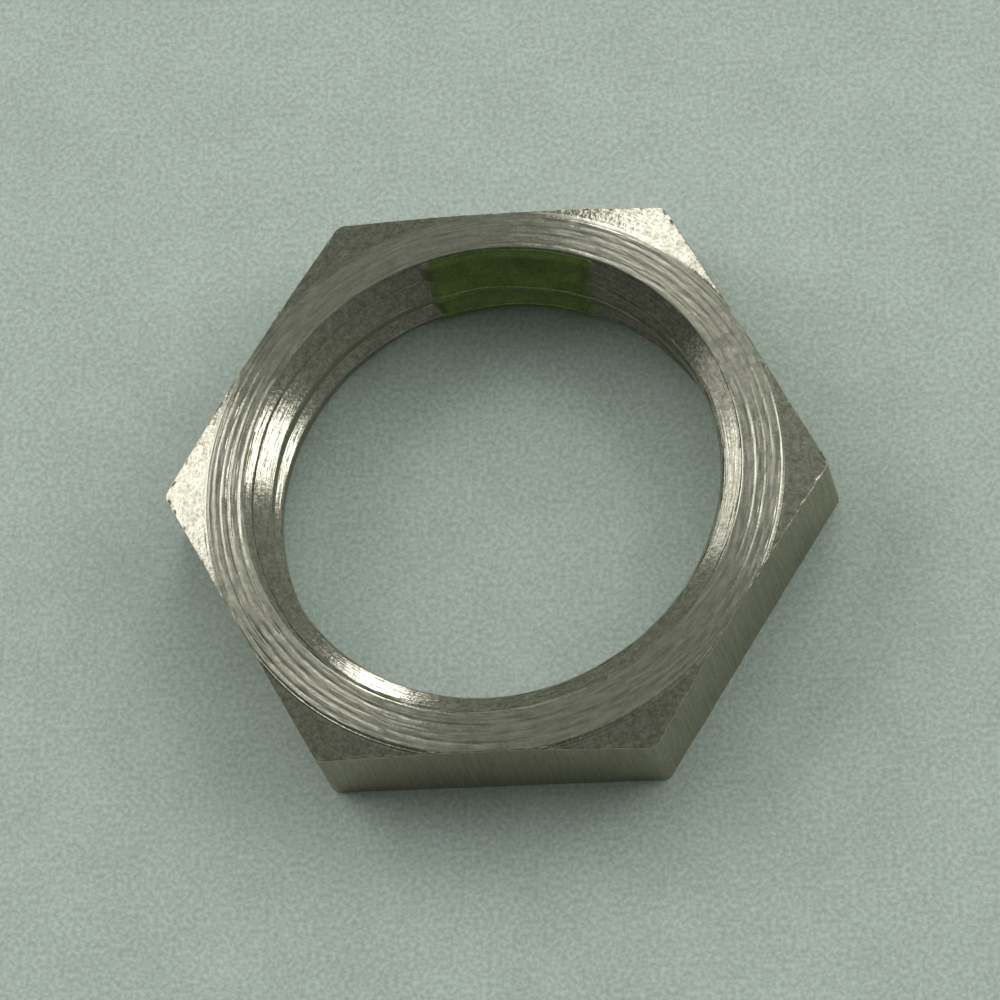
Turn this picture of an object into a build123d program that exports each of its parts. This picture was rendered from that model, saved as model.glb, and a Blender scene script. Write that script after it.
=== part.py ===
from build123d import *
from math import ceil, cos, radians, tan
import os

# Thin hexagonal lock nut, metric fine thread M12 x 1, 14 mm across flats, with a patch
# of cured locking compound on its thread.
# Millimetres. +Z up. The origin is the centre of the bearing face that the nut lies on,
# and two of the six corners are on the X axis.

# Hexagon
across_flats = 14.0
thickness = 2.4
corner_edge_radius = 0.25           # broken vertical edges of the bar the nut is cut from

# Turned top face
face_diameter = 13.94               # bright turned ring, almost as wide as the flats
face_step = 0.03                    # height of the ring above the start of the corner chamfer
corner_chamfer_angle = 12.0         # slope of the chamfer cone, degrees down from the face

# Right-hand internal thread, with its centre line on Z
thread_major_diameter = 12.0
thread_minor_diameter = 11.0        # inside the 6H limits, 10.917 to 11.153
thread_pitch = 1.0
thread_angle = 60.0                 # between the flanks
root_flat = thread_pitch / 8
groove_height_on_x_axis = 0.58      # centre of the groove above the bearing face, on +X

# Countersinks at both ends of the thread
countersink_diameter = 12.15
countersink_angle = 120.0

# Cured locking compound on a short arc of the thread
patch_start_angle = 65.5
patch_end_angle = 109.5
patch_film = 0.08                   # thickness, square to the metal that it coats
patch_end_gap = 0.05                # the film stops this far inside each face

across_corners = across_flats / cos(radians(30))
thread_major_radius = thread_major_diameter / 2
thread_minor_radius = thread_minor_diameter / 2
countersink_radius = countersink_diameter / 2
overcut = 0.5                       # how far cutting shapes run on past the metal
groove_overlap = 0.2                # how far the groove runs on into the bore


def revolved(outline, arc=360):
    """A solid of revolution about Z from (radius, height) points, starting on +X."""
    points = [(radius, 0, height) for radius, height in outline]
    profile = make_face(Polyline(*points, close=True))
    return revolve(profile, axis=Axis.Z, revolution_arc=arc)


def hexagon_blank():
    """The bar's hexagon, its top face turned to a ring and chamfered down at the corners."""
    bar = extrude(RegularPolygon(across_corners / 2, 6), thickness)
    bar = fillet(bar.edges().filter_by(Axis.Z), corner_edge_radius)
    face_radius = face_diameter / 2
    reach = across_corners / 2 + overcut
    drop = face_step + (reach - face_radius) * tan(radians(corner_chamfer_angle))
    return bar - revolved([
        (face_radius, thickness - face_step),
        (reach, thickness - drop),
        (reach, thickness + overcut),
        (face_radius, thickness + overcut),
    ])


def plain_bore(film=0.0):
    """The minor bore and both countersinks, narrowed by a film on their walls."""
    cone_slope = tan(radians(90 - countersink_angle / 2))
    film_height = film / cos(radians(90 - countersink_angle / 2))
    bore_radius = thread_minor_radius - film
    cone_depth = (countersink_radius - bore_radius) * cone_slope - film_height
    mouth_radius = countersink_radius + (overcut - film_height) / cone_slope
    return revolved([
        (0, -overcut),
        (mouth_radius, -overcut),
        (bore_radius, cone_depth),
        (bore_radius, thickness - cone_depth),
        (mouth_radius, thickness + overcut),
        (0, thickness + overcut),
    ])


def groove_turns(film=0.0):
    """The thread's groove as one solid per turn, end to end from below the nut to above it.

    A film on the walls narrows the groove, and its root, by the film's thickness.
    """
    slope = tan(radians(thread_angle / 2))
    root_radius = thread_major_radius - film
    inner_radius = thread_minor_radius - groove_overlap
    half_root = root_flat / 2 + film * slope - film / cos(radians(thread_angle / 2))
    half_mouth = half_root + (root_radius - inner_radius) * slope
    profile = [
        (inner_radius, -half_mouth),
        (inner_radius, half_mouth),
        (root_radius, half_root),
        (root_radius, -half_root),
    ]

    first = -ceil((groove_height_on_x_axis + half_mouth) / thread_pitch)
    last = ceil((thickness + half_mouth - groove_height_on_x_axis) / thread_pitch)
    turns = []
    for turn in range(first, last):
        height = groove_height_on_x_axis + turn * thread_pitch
        points = [(radius, 0, height + z) for radius, z in profile]
        helix = Helix(thread_pitch, thread_pitch, thread_major_radius, center=(0, 0, height))
        section = make_face(Polyline(*points, close=True))
        turns.append(sweep(section, path=helix, is_frenet=True))
    return turns


def nut_body():
    return hexagon_blank() - plain_bore() - groove_turns()


def thread_locking_patch(nut):
    """The film on the nut's thread: a slice of the bore, less the metal and the open room."""
    inner = thread_minor_radius - overcut
    outer = countersink_radius + overcut
    low = patch_end_gap
    high = thickness - patch_end_gap
    arc = patch_end_angle - patch_start_angle
    bore_slice = revolved([(inner, low), (outer, low), (outer, high), (inner, high)], arc)
    bore_slice = Rot(0, 0, patch_start_angle) * bore_slice
    return bore_slice - nut - plain_bore(patch_film) - groove_turns(patch_film)


os.makedirs("parts", exist_ok=True)
nut = nut_body()
export_step(nut, "parts/nut_body.step")
export_step(thread_locking_patch(nut), "parts/thread_locking_patch.step")
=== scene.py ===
from math import cos, pi, radians, sin, sqrt, tan, tau

import bpy
import numpy as np
from mathutils import Matrix, Vector


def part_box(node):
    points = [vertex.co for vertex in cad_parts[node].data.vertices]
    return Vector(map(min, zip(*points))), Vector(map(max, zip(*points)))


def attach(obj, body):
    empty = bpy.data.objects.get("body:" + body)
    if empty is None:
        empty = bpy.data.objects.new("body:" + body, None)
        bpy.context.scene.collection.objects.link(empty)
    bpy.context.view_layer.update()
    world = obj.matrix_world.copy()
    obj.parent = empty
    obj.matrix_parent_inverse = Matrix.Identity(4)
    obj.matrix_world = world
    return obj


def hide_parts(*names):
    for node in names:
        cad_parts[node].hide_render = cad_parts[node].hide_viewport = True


# A thin hexagonal lock nut in nickel-plated brass, M12 x 1, lying on pale paper, with a
# patch of cured locking compound on its thread.
# Shapes are worked out in millimetres and written to the meshes in metres.

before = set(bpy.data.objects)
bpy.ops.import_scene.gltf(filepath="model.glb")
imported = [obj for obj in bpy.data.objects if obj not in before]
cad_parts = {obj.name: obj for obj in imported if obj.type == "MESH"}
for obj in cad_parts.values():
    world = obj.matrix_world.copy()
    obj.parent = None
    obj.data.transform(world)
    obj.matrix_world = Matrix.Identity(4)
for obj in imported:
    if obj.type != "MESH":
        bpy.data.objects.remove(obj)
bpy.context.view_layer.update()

MM = 0.001
nut_low, nut_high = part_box("nut_body")
patch_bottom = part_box("thread_locking_patch")[0].z

# Hexagon, from the frame
thickness = (nut_high.z - nut_low.z) / MM
apothem = (nut_high.y - nut_low.y) / MM / 2
corner_round = 0.25                 # broken vertical edges of the bar
corner_reach = (apothem - corner_round) / cos(pi / 6)
past_corners = 1.2 * apothem        # further out than any point of the nut

# Thread and countersinks
minor_radius = 5.475
major_radius = 6.0
pitch = 1.0
flank_slope = tan(radians(30))      # along the axis per unit of radius
root_flat = pitch / 8
groove_height = 0.58                # middle of the groove above the bearing face, on +X
mouth_radius = 6.075
cone_slope = tan(radians(30))
root_softness = 0.12                # widths over which the section's corners are blended
crest_softness = 0.05
mouth_softness = 0.04

# Turned top face: a ring, cut a little off the hexagon's centre, and a chamfer round it
face_radius = 6.97
face_centre = Vector((0.06, -0.1))
chamfer_slope = tan(radians(12))
chamfer_start = 0.03                # below the ring, at the ring's edge
lip_width = 0.13                    # the groove and ridge that the tool left round the ring
lip_past = (0.0, 0.018, 0.035, 0.055, 0.07, 0.09, lip_width)
lip_end = chamfer_start + lip_width * chamfer_slope
lip_drops = (0.0, 0.042, 0.052, 0.034, 0.032, 0.054, lip_end)
step_width = 0.02                   # the ring's edge where there is no lip
groove_radii = (6.26, 6.49, 6.69, 6.88)
groove_depth = 0.024
groove_width = 0.042
fine_spacing = 0.085                # fine turning lines on the ring
fine_depth = 0.0045
score_spacing = 0.13                # faint turning lines on the chamfer
score_depth = 0.0025
under_spacing = 0.18                # turning lines on the underside
under_depth = 0.012
burr_clusters = ((75, 5), (140, 3), (158, 6), (262, 10), (338, 8), (2, 4))   # degrees, spread

edge_round = 0.03                   # broken edges between the faces and the flats
rim_round = 0.025                   # broken edges between the faces and the countersinks
rim_radius = mouth_radius + 0.01    # where a face starts, past the broken edge
rim_wander = 0.006
flat_wander = 0.004                 # the flats' waviness
burr_height = 0.006
cluster_height = 0.035

# Locking compound
film = 0.08
film_columns = 110
film_rows = 150
bury = 0.012                        # the film's back lies this deep in the metal
end_feather = 0.3
low_feather = 0.12
high_feather = 0.05
patch_start = radians(65.5)
patch_end = radians(109.5)


def ripple(angle, seed, lowest, highest):
    """A smooth closed wave round the nut, about -1 to 1, the same each run."""
    rng = np.random.default_rng(seed)
    total = np.zeros_like(angle)
    for waves in range(lowest, highest + 1):
        total = total + rng.normal() * np.cos(waves * angle + rng.uniform(0, tau))
    return total / sqrt(highest - lowest + 1)


def soft_max(a, b, width):
    """The larger of two distances, blended over a width where they cross."""
    near = np.maximum(width - np.abs(a - b), 0) / width
    return np.maximum(a, b) + near * near * width / 4


def soft_min(a, b, width):
    return -soft_max(-a, -b, width)


def smooth_step(value):
    value = np.clip(value, 0, 1)
    return value * value * (3 - 2 * value)


# ---------------------------------------------------------------- shape of the nut

def bore_radius(height, angle, coat=0.0):
    """Distance from the axis to the wall of the bore, or to a coat of even thickness on it."""
    lean = 1 / cos(radians(30))
    middle = groove_height + pitch * angle / tau
    away = np.abs((height - middle + pitch / 2) % pitch - pitch / 2)
    half_root = root_flat / 2 + coat * (flank_slope - lean)
    flank = major_radius - coat - (away - half_root) / flank_slope
    groove = soft_min(flank, major_radius - coat, root_softness)
    crest = minor_radius - coat
    wall = soft_max(groove, crest, crest_softness)
    from_face = np.minimum(height, thickness - height)
    cone = mouth_radius - (from_face + coat * lean) / cone_slope
    return soft_max(wall, cone, mouth_softness)


def hexagon_radius(angle):
    """Distance from the axis to the flats, with the corners rounded."""
    turn = np.abs((angle + pi / 6) % (pi / 3) - pi / 6)
    flat = apothem / np.cos(pi / 6 - turn)
    across = corner_reach * np.sin(turn)
    corner = corner_reach * np.cos(turn) + np.sqrt(np.maximum(corner_round ** 2 - across ** 2, 0))
    tangent = np.arctan2(corner_round / 2, corner_reach + corner_round * cos(pi / 6))
    return np.where(turn < tangent, corner, flat)


def tool_marks(radius, angle, seed, inner, outer, spacing, depth, patchiness):
    """Depth of the rings that a turning tool leaves, each ring patchy round the nut."""
    rng = np.random.default_rng(seed)
    count = 2 + int((outer + spacing - inner) / spacing * 2 / 0.6)
    knots = inner + np.cumsum(rng.uniform(0.6, 1.4, count)) * spacing / 2
    levels = rng.uniform(0.4, 1.0, count) * depth
    levels[::2] *= 0.15
    place = np.clip(np.searchsorted(knots, radius) - 1, 0, count - 2)
    share = smooth_step((radius - knots[place]) / (knots[place + 1] - knots[place]))
    patches = [1 + patchiness * ripple(angle, seed + n, 20, 110) for n in range(5)]
    patches = np.clip(np.stack(patches), 0.1, 2)
    column = np.arange(len(angle))
    start = levels[place] * patches[place % 5, column]
    end = levels[place + 1] * patches[(place + 1) % 5, column]
    return start + (end - start) * share


def ring_marks(radius, angle):
    """Depth of the ring's marks: a few grooves, deepest towards -X, and fine lines."""
    drift = 0.014 * ripple(angle, 21, 1, 4)
    sides = (0.3 + 0.7 * np.cos(angle - 0.15) ** 2) * (1 - 0.2 * np.cos(angle - 0.4))
    depth = 0
    for number, groove in enumerate(groove_radii):
        wander = np.clip(0.75 + 0.4 * ripple(angle, 60 + number, 1, 7), 0.25, 1.3)
        patchy = 1 + 0.12 * ripple(angle, 70 + number, 15, 60)
        across = (radius + drift + 0.01 * ripple(angle, 80 + number, 2, 6) - groove) / groove_width
        depth = depth + groove_depth * sides * wander * patchy * np.exp(-across ** 2)
    return depth + tool_marks(radius - drift, angle, 24, mouth_radius, face_radius,
                              fine_spacing, fine_depth, 0.5)


def face_height(x, y, angle):
    """Height of the top face: the ring with its marks, its lip, and the chamfer."""
    radius = np.hypot(x - face_centre.x, y - face_centre.y)
    inset = smooth_step((radius - mouth_radius) / 0.06)
    ring = thickness - ring_marks(radius, angle) * inset
    past = radius - face_radius
    plain_drop = np.interp(past, [0, step_width, lip_width], [0.0, chamfer_start, lip_end])
    lip_drop = np.interp(past, lip_past, lip_drops)
    cut = np.clip(0.55 - 0.5 * np.sin(angle) + 0.2 * ripple(angle, 26, 2, 9), 0.12, 1)
    lip = thickness - plain_drop - (lip_drop - plain_drop) * cut
    chamfer = thickness - chamfer_start - past * chamfer_slope
    scores = tool_marks(radius, angle, 25, face_radius, past_corners,
                        score_spacing, score_depth, 0.5)
    outside = np.where(past < lip_width, lip, chamfer - scores * smooth_step(past / 0.3))
    return np.where(past < 0, ring, outside)


# ---------------------------------------------------------------- mesh of the nut

columns = 660
ring_row_count = 43
lip_row_places = (0.012, 0.022, 0.036, 0.052, 0.07, 0.088, 0.108, lip_width)
chamfer_row_count = 8
flat_row_count = 6
underside_row_count = 13
rim_arc = (0.35 * pi / 2, 0.7 * pi / 2)     # rows on the broken edges at the bore's two ends
pitch_offsets = np.concatenate([
    [0.0, 0.035, 0.062],
    np.linspace(0.09, 0.30, 6),
    [0.335, 0.357, 0.38, 0.42],
])
rows_per_pitch = 2 * len(pitch_offsets)


def column_angles():
    """Angles round the nut, closer together near the hexagon's corners."""
    even = np.arange(columns) * tau / columns
    return even - 0.075 * np.sin(6 * even)


def wall_heights(angles, low, high):
    """Heights of the bore's rows, which climb with the thread and stop at the two rims."""
    half = np.concatenate([-pitch_offsets[:0:-1], pitch_offsets, [pitch / 2]])
    starts = np.concatenate([groove_height + turn * pitch + half for turn in range(-3, 4)])
    first = np.searchsorted(starts, low - pitch, side="right") - 1
    last = np.searchsorted(starts, high, side="left")
    climbing = starts[None, first:last + 1] + pitch * angles[:, None] / tau
    return np.clip(climbing, low, high)


def top_height(radius, angles):
    return face_height(radius * np.cos(angles), radius * np.sin(angles), angles)


def upper_rim_rows(angles, rim, high):
    """The broken edge between the bore's wall and the ring."""
    wall = bore_radius(high + 0 * angles, angles)
    rise = top_height(rim, angles) - high
    rows = []
    for turn in rim_arc:
        rows.append((wall + (rim - wall) * (1 - cos(turn)), high + rise * sin(turn)))
    return rows


def top_rows(angles, rim, outer):
    """The ring, the lip round it and the chamfer, out to the broken edge of the flats."""
    lean = np.cos(angles) * face_centre.x + np.sin(angles) * face_centre.y
    ring_edge = np.minimum(lean + face_radius, outer)
    lip_edge = ring_edge + np.minimum(lip_width, outer - ring_edge)
    radii = []
    for share in np.linspace(0, 1, ring_row_count):
        radii.append(rim + (ring_edge - rim) * share)
    for past in lip_row_places:
        radii.append(ring_edge + (lip_edge - ring_edge) * past / lip_width)
    for share in np.linspace(0.14, 1, chamfer_row_count):
        radii.append(lip_edge + (outer - lip_edge) * share)
    return [(radius, top_height(radius, angles)) for radius in radii]


def burrs(angles):
    """Height of the small burrs on the upper brink of the flats."""
    height = burr_height * np.clip(ripple(angles, 33, 60, 200), 0, 2)
    for middle, spread in burr_clusters:
        away = (np.degrees(angles) - middle + 180) % 360 - 180
        ragged = np.clip(ripple(angles, 34 + middle, 90, 240) - 0.3, 0, 1.5)
        height = height + cluster_height * ragged * np.exp(-(away / spread) ** 2)
    return height


def side_rows(angles, far):
    """The flats, with the broken edges above and below them."""
    burr = burrs(angles)
    brink = top_height(far - edge_round, angles)
    rows = []
    for turn in np.radians([25, 50, 75]):
        radius = far - edge_round * (1 - sin(turn)) + burr * 0.5
        rows.append((radius, brink - edge_round * (1 - cos(turn)) + burr))
    skirt = brink - edge_round
    for share in np.linspace(0, 1, flat_row_count):
        rows.append((far, skirt + (edge_round - skirt) * share))
    for turn in np.radians([30, 60, 90]):
        rows.append((far - edge_round * (1 - cos(turn)), edge_round * (1 - sin(turn)) + 0 * far))
    return rows


def under_rows(angles, outer, low):
    """The underside, and the broken edge between it and the bore's wall."""
    def under(radius):
        marks = tool_marks(radius, angles, 41, mouth_radius, past_corners,
                           under_spacing, under_depth, 0.3)
        return marks * smooth_step((outer - radius) / 0.1)

    rows = []
    for share in np.linspace(0.07, 1, underside_row_count):
        radius = outer + (rim_radius - outer) * share
        rows.append((radius, under(radius)))
    wall = bore_radius(low + 0 * angles, angles)
    drop = low - under(rim_radius + 0 * angles)
    for turn in reversed(rim_arc):
        rows.append((wall + (rim_radius - wall) * (1 - cos(turn)), low - drop * sin(turn)))
    return rows


def build_nut():
    """One closed section, swept round the axis: the bore's rows climb, the others do not."""
    angles = column_angles()
    low, high = rim_round, thickness - rim_round
    wall_height = wall_heights(angles, low, high)
    wall_radius = bore_radius(wall_height, angles[:, None])

    far = hexagon_radius(angles) + flat_wander * ripple(angles, 31, 9, 40)
    rim = rim_radius + rim_wander * ripple(angles, 32, 5, 60)
    rows = upper_rim_rows(angles, rim, high)
    rows += top_rows(angles, rim, far - edge_round)
    rows += side_rows(angles, far)
    rows += under_rows(angles, far - edge_round, low)

    radius = np.concatenate([wall_radius, np.stack([row[0] for row in rows], 1)], 1)
    height = np.concatenate([wall_height, np.stack([row[1] for row in rows], 1)], 1)
    angle = angles[:, None]
    points = np.stack([radius * np.cos(angle), radius * np.sin(angle), height], -1)
    faces = loop_faces(wall_height, low, high, len(rows))
    return mesh_object("lock_nut", points.reshape(-1, 3), faces)


def loop_faces(wall_height, low, high, closed_rows):
    """Quads of the closed section, with the wall's rows joined one pitch on at the seam."""
    wall_rows = wall_height.shape[1]
    total = wall_rows + closed_rows
    bottom_row = [int(np.flatnonzero(column <= low)[-1]) for column in wall_height]
    top_row = [int(np.flatnonzero(column >= high)[0]) for column in wall_height]

    def vertex(column, row):
        if row >= wall_rows:
            return (column % columns) * total + row % total
        if column == columns:
            column = 0
            row = min(row + rows_per_pitch, wall_rows - 1)
        if wall_height[column][row] <= low:
            row = bottom_row[column]
        elif wall_height[column][row] >= high:
            row = top_row[column]
        return column * total + row

    faces = []
    for column in range(columns):
        for row in range(total):
            following = (row + 1) % total
            corners = [
                vertex(column, row),
                vertex(column, following),
                vertex(column + 1, following),
                vertex(column + 1, row),
            ]
            kept = [corner for n, corner in enumerate(corners) if corner != corners[n - 1]]
            if len(kept) > 2:
                faces.append(kept)
    return faces


def mesh_object(name, points, faces):
    """A smooth-shaded object from points in millimetres, with unused points left out."""
    used = np.zeros(len(points), bool)
    for face in faces:
        used[face] = True
    renumbered = np.cumsum(used) - 1
    mesh = bpy.data.meshes.new(name)
    mesh.from_pydata((points[used] * MM).tolist(), [], [renumbered[f].tolist() for f in faces])
    mesh.polygons.foreach_set("use_smooth", [True] * len(mesh.polygons))
    mesh.update()
    item = bpy.data.objects.new(name, mesh)
    bpy.context.scene.collection.objects.link(item)
    return item


# ---------------------------------------------------------------- locking compound

def film_faces():
    """Quads of the film's front and back, which share their outermost points."""
    size = film_columns * film_rows

    def place(column, row, side):
        outermost = column in (0, film_columns - 1) or row in (0, film_rows - 1)
        return column * film_rows + row + (0 if outermost else side * size)

    faces = []
    for column in range(film_columns - 1):
        for row in range(film_rows - 1):
            corners = [(column, row), (column, row + 1), (column + 1, row + 1), (column + 1, row)]
            faces.append(np.array([place(*corner, 0) for corner in corners]))
            corners = [(column, row), (column + 1, row), (column + 1, row + 1), (column, row + 1)]
            faces.append(np.array([place(*corner, 1) for corner in corners]))
    return faces


def build_patch():
    """The film on the thread: its front follows the thread, its back sits in the metal."""
    angles = np.linspace(patch_start, patch_end, film_columns)[:, None]
    low, high = patch_bottom / MM, thickness - rim_round
    heights = np.linspace(low, high, film_rows)[None, :] + 0 * angles

    # The film thins out toward its edges, and swells a little in between
    around = np.minimum(angles - patch_start, patch_end - angles) * minor_radius
    ragged = 0.06 * ripple(heights * 1.1, 51, 1, 5) + 0.02 * ripple(heights * 1.1, 52, 8, 20)
    ends = smooth_step((around - 0.03 + ragged) / end_feather)
    rims = smooth_step((heights - low) / low_feather)
    rims = rims * smooth_step((high - heights) / high_feather)
    swell = 0.8 + 0.2 * ripple(angles * 3, 53, 2, 9) * np.cos(5 * heights)
    feather = ends * rims * np.clip(swell, 0.5, 1.0)

    back = bore_radius(heights, angles) + bury
    front = back - (back - bore_radius(heights, angles, film)) * feather
    points = []
    for radius in (front, back):
        side = np.stack([radius * np.cos(angles), radius * np.sin(angles), heights], -1)
        points.append(side.reshape(-1, 3))
    return mesh_object("locking_compound", np.concatenate(points), film_faces())


# ---------------------------------------------------------------- materials

class Nodes:
    """Short calls for building one material's node tree, with places in millimetres."""

    def __init__(self, name):
        self.material = bpy.data.materials.new(name)
        self.material.use_nodes = True
        self.tree = self.material.node_tree
        self.tree.nodes.clear()
        self.shader = self.tree.nodes.new("ShaderNodeBsdfPrincipled")
        output = self.tree.nodes.new("ShaderNodeOutputMaterial")
        self.tree.links.new(self.shader.outputs[0], output.inputs["Surface"])
        coordinates = self.tree.nodes.new("ShaderNodeTexCoord").outputs["Object"]
        self.place = self.scaled(coordinates, 1 / MM)

    def put(self, socket, value):
        if isinstance(value, bpy.types.NodeSocket):
            self.tree.links.new(value, socket)
        else:
            socket.default_value = value

    def math(self, operation, a, b=0.0, c=0.0):
        node = self.tree.nodes.new("ShaderNodeMath")
        node.operation = operation
        for socket, value in zip(node.inputs, (a, b, c)):
            self.put(socket, value)
        return node.outputs[0]

    def blend(self, share, a, b):
        """Number a where the share is 0, and b where it is 1."""
        return self.math("ADD", a, self.math("MULTIPLY", share, self.math("SUBTRACT", b, a)))

    def weigh(self, a, weight_a, b, weight_b):
        return self.math("ADD", self.math("MULTIPLY", a, weight_a),
                         self.math("MULTIPLY", b, weight_b))

    def split(self, vector):
        node = self.tree.nodes.new("ShaderNodeSeparateXYZ")
        self.put(node.inputs[0], vector)
        return node.outputs

    def join(self, x, y, z):
        node = self.tree.nodes.new("ShaderNodeCombineXYZ")
        for socket, value in zip(node.inputs, (x, y, z)):
            self.put(socket, value)
        return node.outputs[0]

    def noise(self, vector, scale, detail, roughness):
        node = self.tree.nodes.new("ShaderNodeTexNoise")
        self.put(node.inputs["Vector"], vector)
        self.put(node.inputs["Scale"], scale)
        self.put(node.inputs["Detail"], detail)
        self.put(node.inputs["Roughness"], roughness)
        return node.outputs["Fac"]

    def spread(self, value, from_low, from_high, to_low, to_high):
        node = self.tree.nodes.new("ShaderNodeMapRange")
        for socket, number in zip(node.inputs, (value, from_low, from_high, to_low, to_high)):
            self.put(socket, number)
        return node.outputs[0]

    def scaled(self, vector, factor):
        node = self.tree.nodes.new("ShaderNodeVectorMath")
        node.operation = "SCALE"
        self.put(node.inputs[0], vector)
        self.put(node.inputs["Scale"], factor)
        return node.outputs[0]

    def mix(self, share, a, b):
        node = self.tree.nodes.new("ShaderNodeMix")
        node.data_type = "RGBA"
        self.put(node.inputs["Factor"], share)
        self.put(node.inputs["A"], a)
        self.put(node.inputs["B"], b)
        return node.outputs["Result"]

    def bump(self, height, distance):
        """Relief of a height of 1 that stands this many millimetres tall."""
        node = self.tree.nodes.new("ShaderNodeBump")
        self.put(node.inputs["Height"], height)
        node.inputs["Distance"].default_value = distance * MM
        node.inputs["Strength"].default_value = 1.0
        self.put(self.shader.inputs["Normal"], node.outputs[0])

    def brushed(self, amount):
        """Stretch the highlights across marks that run round the axis."""
        node = self.tree.nodes.new("ShaderNodeTangent")
        node.direction_type = "RADIAL"
        node.axis = "Z"
        self.put(self.shader.inputs["Tangent"], node.outputs[0])
        self.put(self.shader.inputs["Anisotropic Rotation"], 0.25)
        self.put(self.shader.inputs["Anisotropic"], amount)

    def normal(self):
        node = self.tree.nodes.new("ShaderNodeNewGeometry")
        return self.split(node.outputs["Normal"])

    def polar(self):
        """Radius, cosine and sine of the angle round the axis, and height."""
        x, y, z = self.split(self.place)
        square = self.math("ADD", self.math("MULTIPLY", x, x), self.math("MULTIPLY", y, y))
        radius = self.math("SQRT", square)
        return radius, self.math("DIVIDE", x, radius), self.math("DIVIDE", y, radius), z


# Linear colours of each surface, between which the noise mixes, and one of painted shade
nickel_dull = (0.49, 0.47, 0.365, 1)
nickel_pale = (0.92, 0.90, 0.75, 1)
nickel_cut = (0.96, 0.94, 0.80, 1)          # freshly turned, on the ring
# Painted shade for the thread's steep walls in the bore, not a colour of the plate
nickel_painted_shade = (0.22, 0.20, 0.14, 1)         # the thread's steep walls
sawn_dull = (0.34, 0.31, 0.235, 1)
sawn_pale = (0.55, 0.505, 0.38, 1)


def metal_material():
    """Nickel plate over turned brass: the marks run round the axis, or up the sawn flats."""
    m = Nodes("nickel_plate")
    radius, across, along, height = m.polar()
    x, y, z = m.split(m.place)

    # Where each kind of surface is, told by its radius and by how steep it is
    up = m.math("ABSOLUTE", m.normal()[2])
    level = m.spread(up, 0.9, 0.95, 0.0, 1.0)
    flat = m.math("MULTIPLY", m.math("GREATER_THAN", radius, 1.1 * major_radius),
                  m.spread(up, 0.15, 0.5, 1.0, 0.0))
    upright = m.math("MULTIPLY", m.spread(radius, major_radius + 0.02, major_radius + 0.04, 1.0, 0.0),
                     m.spread(up, 0.3, 0.7, 1.0, 0.0))
    past_mouth = m.spread(radius, mouth_radius - 0.045, mouth_radius + 0.005, 0.0, 1.0)
    before_lip = m.spread(radius, face_radius + 0.03, face_radius + 0.09, 1.0, 0.0)
    past_lip = m.spread(radius, face_radius + 0.06, face_radius + lip_width, 0.0, 1.0)
    ring = m.math("MULTIPLY", level, m.math("MULTIPLY", past_mouth, before_lip))
    chamfer = m.math("MULTIPLY", level, past_lip)

    # Marks run round the axis: slow along a circle, quick across it
    across_marks = m.math("ADD", radius, height)

    def turned(length, width):
        quick = m.math("MULTIPLY", across_marks, 1 / width)
        along_x = m.math("MULTIPLY", x, 1 / length)
        along_y = m.math("MULTIPLY", y, 1 / length)
        return m.noise(m.join(along_x, along_y, quick), 1.0, 1.0, 0.5)

    lines = turned(0.9, 0.07)
    dashes = turned(0.55, 0.075)
    hair = turned(0.5, 0.035)
    drawn_place = m.join(m.math("MULTIPLY", x, 14.0), m.math("MULTIPLY", y, 14.0),
                         m.math("MULTIPLY", z, 0.8))
    drawn = m.noise(drawn_place, 1.0, 2.0, 0.6)
    blotch = m.noise(m.place, 2.2, 3.0, 0.6)
    cloud = m.noise(m.place, 5.0, 2.0, 0.6)
    grit = m.noise(m.place, 12.0, 3.0, 0.6)

    # The tool chattered on two opposite sides of the ring, and left them torn and patchy
    diagonal = m.math("MULTIPLY", m.math("MULTIPLY", across, along), 2.0)
    patchy = m.math("MULTIPLY", m.spread(diagonal, 0.35, 0.85, 0.0, 1.0),
                    m.spread(blotch, 0.3, 0.7, 0.4, 1.0))
    torn = m.math("MULTIPLY", ring, patchy)

    # Colour
    mottle = m.weigh(cloud, 0.35, grit, 0.65)
    streaks = m.weigh(dashes, 0.6, grit, 0.4)
    shade = m.blend(ring, mottle, streaks)
    plated = m.mix(m.spread(shade, 0.36, 0.64, 0.0, 1.0), nickel_dull, nickel_pale)
    plated = m.mix(m.math("MULTIPLY", ring, 0.3), plated, nickel_cut)
    saw_marks = m.weigh(drawn, 0.5, grit, 0.5)
    sawn = m.mix(m.spread(saw_marks, 0.36, 0.64, 0.0, 1.0), sawn_dull, sawn_pale)
    colour = m.mix(flat, plated, sawn)
    # Painted shade: the thread's steep walls in the bore are darkened toward a dark nickel colour
    colour = m.mix(m.math("MULTIPLY", upright, 0.8), colour, nickel_painted_shade)
    m.put(m.shader.inputs["Base Color"], colour)
    m.put(m.shader.inputs["Metallic"], 1.0)

    # Roughness
    smooth = m.spread(blotch, 0.3, 0.7, 0.11, 0.19)
    coarse = m.spread(dashes, 0.3, 0.7, 0.19, 0.33)
    rough = m.blend(ring, smooth, coarse)
    rough = m.math("ADD", rough, m.math("MULTIPLY", torn, 0.2))
    m.put(m.shader.inputs["Roughness"], m.blend(flat, rough, 0.38))
    m.brushed(m.math("ADD", 0.3, m.math("MULTIPLY", ring, 0.5)))

    # Relief in hundredths of a millimetre
    turning = m.weigh(lines, 0.9, hair, 0.22)
    turning = m.math("MULTIPLY", turning, m.spread(chamfer, 0.0, 1.0, 1.0, 0.45))
    tears = m.math("MULTIPLY", m.math("MULTIPLY", dashes, torn), 2.6)
    grain = m.weigh(grit, 0.28, cloud, m.spread(chamfer, 0.0, 1.0, 0.25, 0.8))
    relief = m.math("ADD", m.math("ADD", turning, tears), grain)
    sawing = m.weigh(drawn, 0.4, grit, 0.5)
    m.bump(m.blend(flat, relief, sawing), 0.01)
    return m.material


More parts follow.
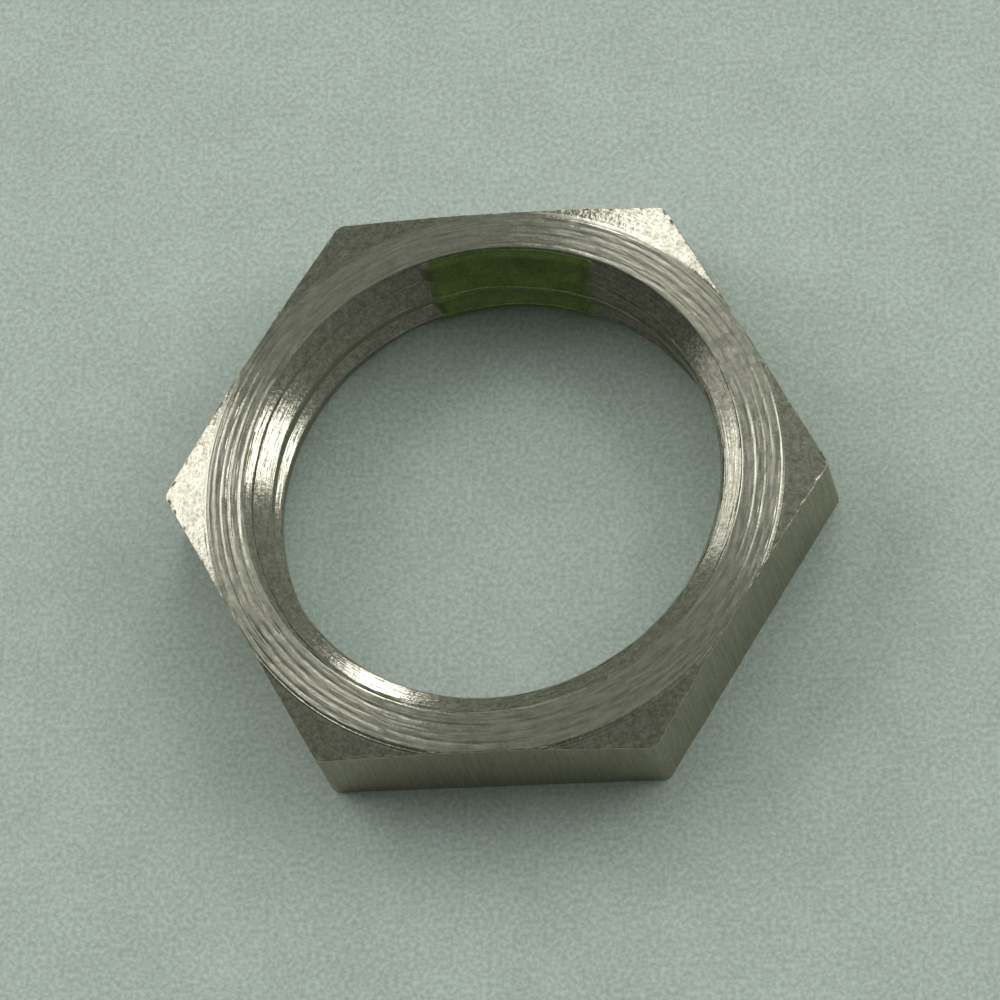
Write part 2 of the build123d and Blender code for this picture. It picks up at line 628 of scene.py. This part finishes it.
compound_dull = (0.33, 0.44, 0.145, 1)
compound_pale = (0.54, 0.72, 0.24, 1)
# Painted shade: a darker green for the film's steep walls
compound_painted_shade = (0.10, 0.13, 0.04, 1)
# Painted shade: a still darker green for the top of the film, in the countersink and along its upper
# edge
compound_painted_shade_top = (0.06, 0.10, 0.015, 1)
metal_below = (0.68, 0.655, 0.53, 1)


def compound_material():
    """A thin green film that shows some of the shine of the metal, and thins out at its ends."""
    m = Nodes("locking_compound")
    across, along, height = m.polar()[1:]
    cloud = m.noise(m.place, 2.5, 3.0, 0.6)
    grain = m.noise(m.place, 16.0, 2.0, 0.6)

    # The last of the film at each end is so thin that the metal shows
    angle = m.math("ARCTAN2", along, across)
    away = m.math("ABSOLUTE", m.math("SUBTRACT", angle, (patch_start + patch_end) / 2))
    away = m.math("ADD", away, m.spread(cloud, 0.3, 0.7, -0.025, 0.025))
    half = (patch_end - patch_start) / 2
    bare = m.spread(away, half - 0.055, half - 0.005, 0.0, 1.0)

    steep = m.spread(m.normal()[2], 0.3, 0.7, 1.0, 0.0)
    mottle = m.weigh(cloud, 0.5, grain, 0.5)
    green = m.mix(m.spread(mottle, 0.35, 0.65, 0.0, 1.0), compound_dull, compound_pale)
    # Painted shade on the film's steep walls
    green = m.mix(m.math("MULTIPLY", steep, 0.55), green, compound_painted_shade)
    # Painted shade on the top of the film, in the countersink and along its upper edge
    countersink = m.spread(height, thickness - 0.4, thickness - 0.2, 0.0, 0.4)
    rim = m.spread(height, thickness - 0.08, thickness - 0.04, 0.0, 0.3)
    green = m.mix(m.math("ADD", countersink, rim), green, compound_painted_shade_top)
    # Where the film is bare, the metal's steep walls get the same painted shade
    metal = m.mix(m.math("MULTIPLY", steep, 0.8), metal_below, nickel_painted_shade)
    m.put(m.shader.inputs["Base Color"], m.mix(bare, green, metal))
    m.put(m.shader.inputs["Metallic"], m.blend(bare, 0.94, 1.0))
    rough = m.spread(grain, 0.3, 0.7, 0.24, 0.38)
    m.put(m.shader.inputs["Roughness"], m.blend(bare, rough, 0.17))
    m.brushed(m.math("MULTIPLY", bare, 0.3))
    relief = m.weigh(grain, 0.4, cloud, 1.0)
    m.bump(m.math("MULTIPLY", relief, m.blend(bare, 1.0, 0.15)), 0.01)
    return m.material


paper_dull = (0.43, 0.512, 0.447, 1)
paper_pale = (0.632, 0.735, 0.662, 1)


def paper_material():
    """Pale grey-green paper with short fibres."""
    m = Nodes("pale_paper")
    mottle = m.noise(m.place, 0.5, 4.0, 0.7)
    fibre = m.noise(m.place, 8.5, 2.0, 0.6)
    shade = m.spread(m.weigh(mottle, 0.25, fibre, 0.75), 0.35, 0.65, 0.0, 1.0)
    m.put(m.shader.inputs["Base Color"], m.mix(shade, paper_dull, paper_pale))
    m.put(m.shader.inputs["Roughness"], 0.7)
    m.bump(fibre, 0.01)
    return m.material


# ---------------------------------------------------------------- setting

floor_half = 0.25
floor_gap = 0.002 * MM              # keeps the paper and the nut's underside apart
window_distance = 1.2

# Windows that show in the metal: azimuths and elevations in degrees, and radiance
metal_windows = {
    "window_far_low": ((80, 91), (8, 38), 2.7),
    "window_far_high": ((79, 94), (38, 54), 1.2),
    "window_far_top": ((78, 96), (54, 62), 1.15),
    "window_left_sill": ((139, 162), (11, 28), 0.75),
    "window_left_low": ((139, 162), (28, 40), 1.7),
    "window_left_high": ((136, 162), (40, 53), 1.2),
    "window_left_dim": ((162, 181), (14, 34), 0.35),
    "window_right": ((4, 29), (33, 49), 2.2),
}
# Lights that the paper sees and the metal does not
paper_lights = {
    "light_far": ((62, 96), (8, 50), 2.0),
    "light_left": ((122, 174), (5, 46), 2.72),
    "light_right": ((-6, 50), (5, 46), 2.18),
    "light_above": ((40, 140), (52, 90), 0.44),
    "light_near": ((-110, -20), (35, 75), 0.16),
}
room_colour = (0.95, 1.035, 0.925, 1)


def build_floor():
    """A sheet of paper under the nut."""
    place = (0, 0, nut_low.z - floor_gap)
    bpy.ops.mesh.primitive_plane_add(size=2 * floor_half, location=place)
    floor = bpy.context.object
    floor.name = "paper"
    floor.data.materials.append(paper_material())


def direction(azimuth, elevation):
    """A unit vector toward a place in the sky, given in degrees."""
    azimuth, elevation = radians(azimuth), radians(elevation)
    return Vector((cos(elevation) * cos(azimuth), cos(elevation) * sin(azimuth), sin(elevation)))


def window(name, azimuths, elevations, radiance, seen_in_metal):
    """A soft rectangular light that fills a patch of the sky round the nut.

    It either shows in the metal or lights the paper. The metal's windows are narrow, for its
    small bright highlights, and the paper's lights are wide, for its soft shadows.
    """
    azimuth, elevation = sum(azimuths) / 2, sum(elevations) / 2
    half_width = tan(radians(azimuths[1] - azimuths[0]) / 2) * cos(radians(elevation))
    half_height = tan(radians(elevations[1] - elevations[0]) / 2)
    light = bpy.data.lights.new(name, "AREA")
    light.shape = "RECTANGLE"
    light.size = 2 * window_distance * half_width
    light.size_y = 2 * window_distance * half_height
    light.energy = radiance * pi * light.size * light.size_y
    item = bpy.data.objects.new(name, light)
    bpy.context.scene.collection.objects.link(item)
    item.visible_glossy = seen_in_metal
    item.visible_diffuse = not seen_in_metal
    outward = direction(azimuth, elevation)
    item.location = outward * window_distance
    item.rotation_euler = outward.to_track_quat("Z", "Y").to_euler()


def build_lights():
    for name, (azimuths, elevations, radiance) in metal_windows.items():
        window(name, azimuths, elevations, radiance, True)
    for name, (azimuths, elevations, radiance) in paper_lights.items():
        window(name, azimuths, elevations, radiance, False)


def build_room():
    """The dim room: lightest low down and overhead on the windows' side, dark behind the camera."""
    world = bpy.data.worlds.new("room")
    bpy.context.scene.world = world
    world.use_nodes = True
    tree = world.node_tree
    background = tree.nodes["Background"]
    background.inputs["Color"].default_value = room_colour
    place = tree.nodes.new("ShaderNodeTexCoord").outputs["Generated"]
    split = tree.nodes.new("ShaderNodeSeparateXYZ")
    tree.links.new(place, split.inputs[0])
    x, y, z = split.outputs

    def node(kind, *values):
        made = tree.nodes.new(kind)
        for socket, value in zip(made.inputs, values):
            if isinstance(value, bpy.types.NodeSocket):
                tree.links.new(value, socket)
            else:
                socket.default_value = value
        return made

    def spread(*values):
        return node("ShaderNodeMapRange", *values).outputs[0]

    def math(operation, *values):
        made = node("ShaderNodeMath", *values)
        made.operation = operation
        return made.outputs[0]

    toward_windows = math("POWER", spread(y, -0.55, 0.45, 0.0, 1.0), 1.8)
    toward_windows = spread(toward_windows, 0.0, 1.0, 0.072, 0.2)
    overhead = spread(z, 0.45, 0.9, 0.0, 0.5)
    horizon = spread(z, 0.1, 0.45, 1.0, 0.5)
    paler_side = spread(x, 0.1, 0.8, 0.0, 0.07)
    height = math("ADD", overhead, horizon)
    strength = math("MULTIPLY_ADD", toward_windows, height, paler_side)
    tree.links.new(strength, background.inputs["Strength"])


def build_camera():
    """Looks down on the nut from one side, turned a little about its own line of sight."""
    camera = bpy.data.cameras.new("camera")
    camera.sensor_width = 36.0
    camera.lens = 201.6
    camera.clip_start = 0.01
    item = bpy.data.objects.new("camera", camera)
    bpy.context.scene.collection.objects.link(item)
    distance = 134.6 * MM
    aim = Vector((0, -0.11 * MM, 1.2 * MM))
    toward_camera = direction(-65.6, 64.65)
    roll = radians(-25.08)
    level = Vector((0, 0, 1)).cross(toward_camera).normalized()
    upright = toward_camera.cross(level)
    right = level * cos(roll) + upright * sin(roll)
    up = toward_camera.cross(right)
    turn = Matrix((right, up, toward_camera)).transposed()
    place = Matrix.Translation(aim + toward_camera * distance)
    item.matrix_world = place @ turn.to_4x4()
    bpy.context.scene.camera = item


nut = build_nut()
nut.data.materials.append(metal_material())
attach(nut, "root")
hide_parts("nut_body")

patch = build_patch()
patch.data.materials.append(compound_material())
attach(patch, "root")
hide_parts("thread_locking_patch")

build_floor()
build_lights()
build_room()
build_camera()
bpy.context.scene.view_settings.view_transform = "Standard"
